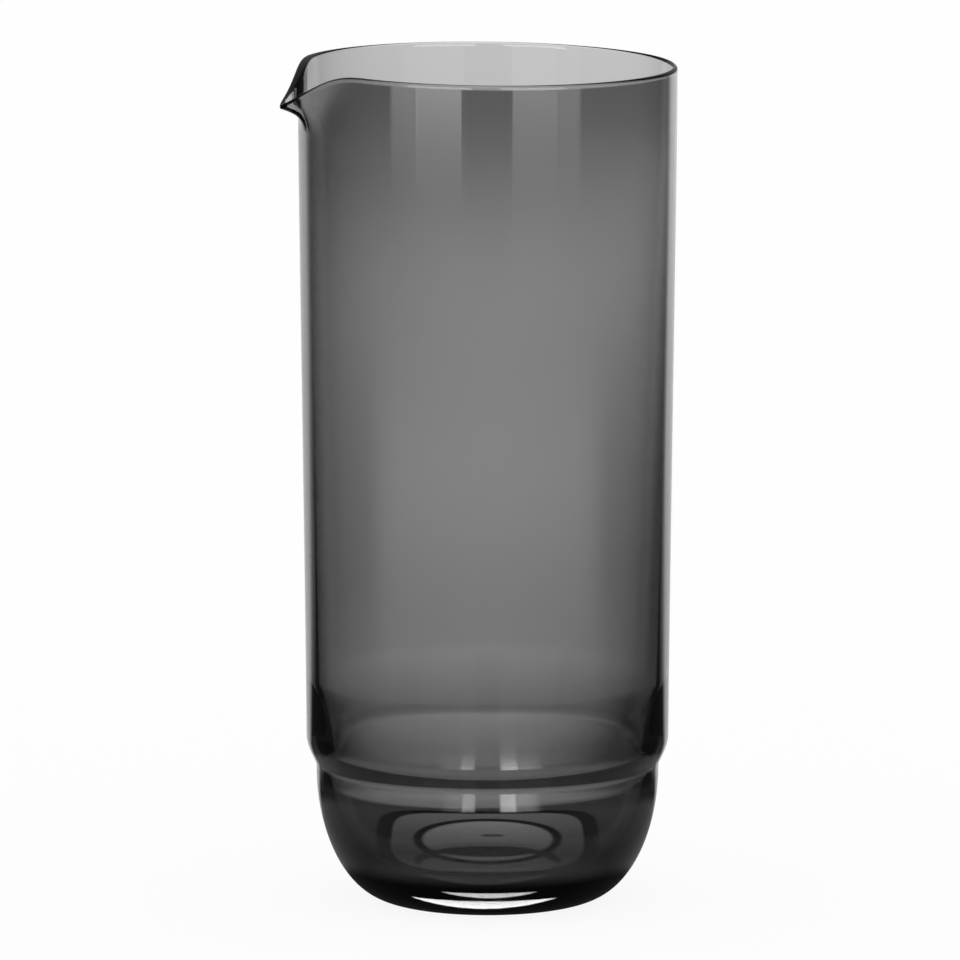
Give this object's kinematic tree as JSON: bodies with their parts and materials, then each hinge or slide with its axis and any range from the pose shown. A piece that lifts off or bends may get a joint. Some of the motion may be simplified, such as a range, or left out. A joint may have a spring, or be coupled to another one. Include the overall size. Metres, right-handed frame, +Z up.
{
  "type": "carafe",
  "caption": "Tall smoked-glass carafe with a waisted round bowl, a thick base and a pulled pouring lip.",
  "frame": {"origin": "on the vessel's axis, in the plane of the flat foot ring that the carafe stands on; the flat middle of the recess under the base lies 1 mm above it", "axes": "+Z up along the vessel's axis; -X is the way the lip pours; the XZ plane is the plane of symmetry"},
  "size_m": [0.1064, 0.1, 0.223],
  "materials": {
    "smoked_glass": "clear smoked grey glass, fire-polished and smooth"
  },
  "bodies": {
    "root": {"glass_body": "smoked_glass"}
  },
  "joints": []
}
